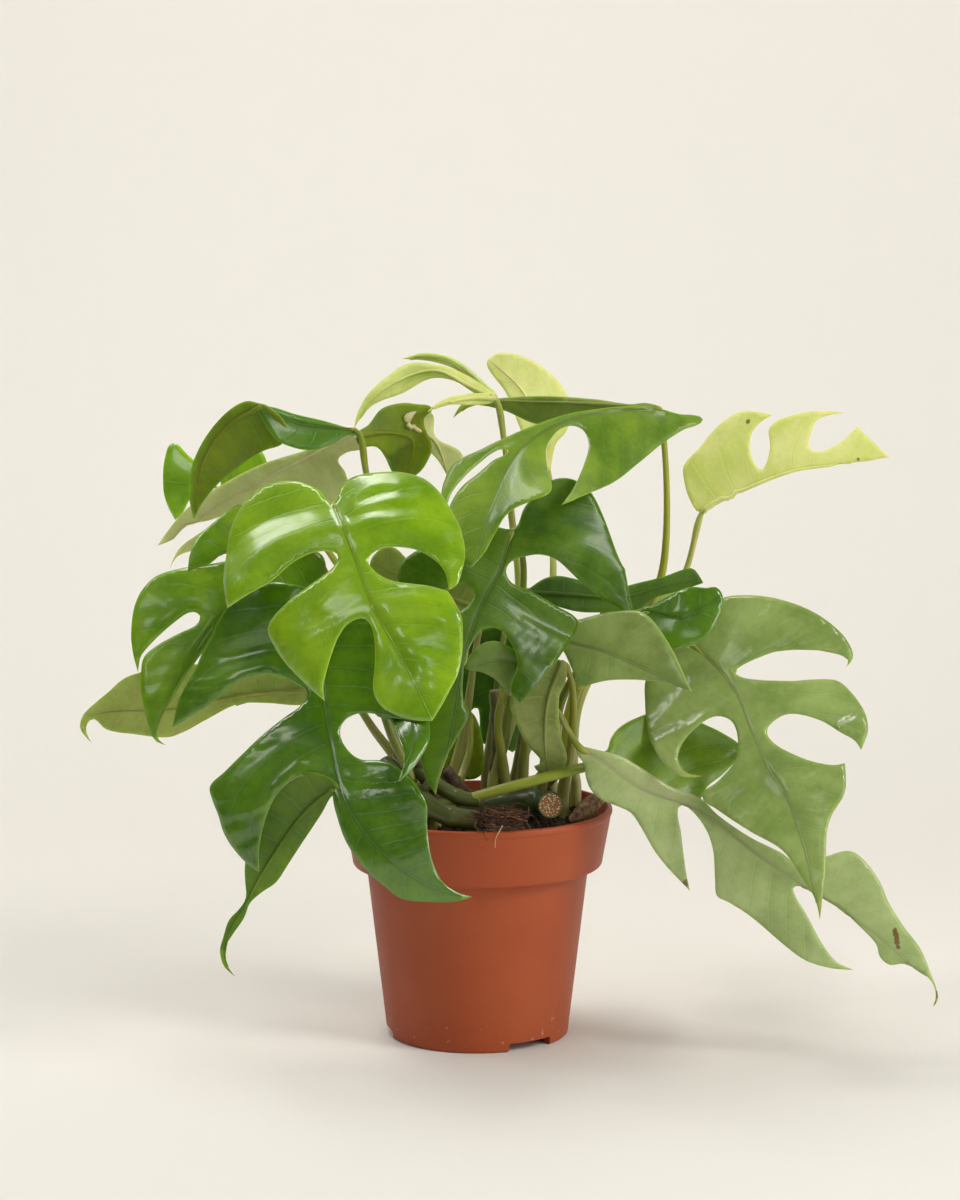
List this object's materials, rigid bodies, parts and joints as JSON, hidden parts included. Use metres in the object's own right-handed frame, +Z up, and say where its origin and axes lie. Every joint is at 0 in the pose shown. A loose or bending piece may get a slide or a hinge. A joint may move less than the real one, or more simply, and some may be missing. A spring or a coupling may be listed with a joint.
{
  "type": "potted rhaphidophora tetrasperma",
  "caption": "Young split-leaved climbing aroid in a terracotta-coloured plastic nursery pot, with arching stalks, slotted glossy leaves, soil and a cut old stem.",
  "frame": {"origin": "centre of the pot's foot, on the surface that it stands on", "axes": "+Z up along the pot's axis, +X to the right and -Y towards the viewer as the plant is pictured"},
  "size_m": [0.3718, 0.2541, 0.3002],
  "materials": {
    "leaf_lime": "glossy young leaf, bright lime green",
    "leaf_green": "glossy leaf, mid green",
    "leaf_dark": "glossy leaf, deep green",
    "leaf_sage": "satin leaf, greyish green",
    "leaf_pale": "thin leaf with the light through it, pale yellow green",
    "leaf_olive": "satin leaf underside, olive",
    "leaf_pale_underside": "matt leaf underside, pale olive",
    "vine": "satin vine with dried brown sheaths",
    "old_stem": "satin green stem with a tan cut face",
    "root_fibre": "rough brown root fibre and bark",
    "dry_sheath": "papery dried sheath, tan",
    "pot": "satin terracotta-coloured moulded plastic",
    "soil": "rough dark brown potting mix"
  },
  "bodies": {
    "root": {"leaf_lime_front": "leaf_lime", "leaf_left_mid": "leaf_green", "leaf_left_low": "leaf_dark", "leaf_left_far": "leaf_pale_underside", "leaf_top_left_arch": "leaf_olive", "leaf_back_left": "leaf_lime", "leaf_top_arch": "leaf_pale", "leaf_top_back": "leaf_pale", "leaf_top_ridge": "leaf_green", "leaf_center": "leaf_green", "leaf_center_back": "leaf_green", "leaf_mid_dark": "leaf_dark", "leaf_right_fold": "leaf_green", "leaf_right_mid": "leaf_sage", "leaf_right_large": "leaf_sage", "leaf_right_low": "leaf_sage", "leaf_right_pale": "leaf_pale", "leaf_low_fold": "leaf_pale_underside", "leaf_low_sage": "leaf_sage", "leaf_low_back": "leaf_lime", "leaf_back_center": "leaf_dark", "leaf_back_low_left": "leaf_dark", "leaf_back_low_right": "leaf_green", "vine_left": "vine", "vine_inner": "vine", "vine_middle": "vine", "vine_right": "vine", "cut_stem": "old_stem", "root_clump": "root_fibre", "dry_sheath": "dry_sheath", "pot": "pot", "soil": "soil"}
  },
  "joints": []
}
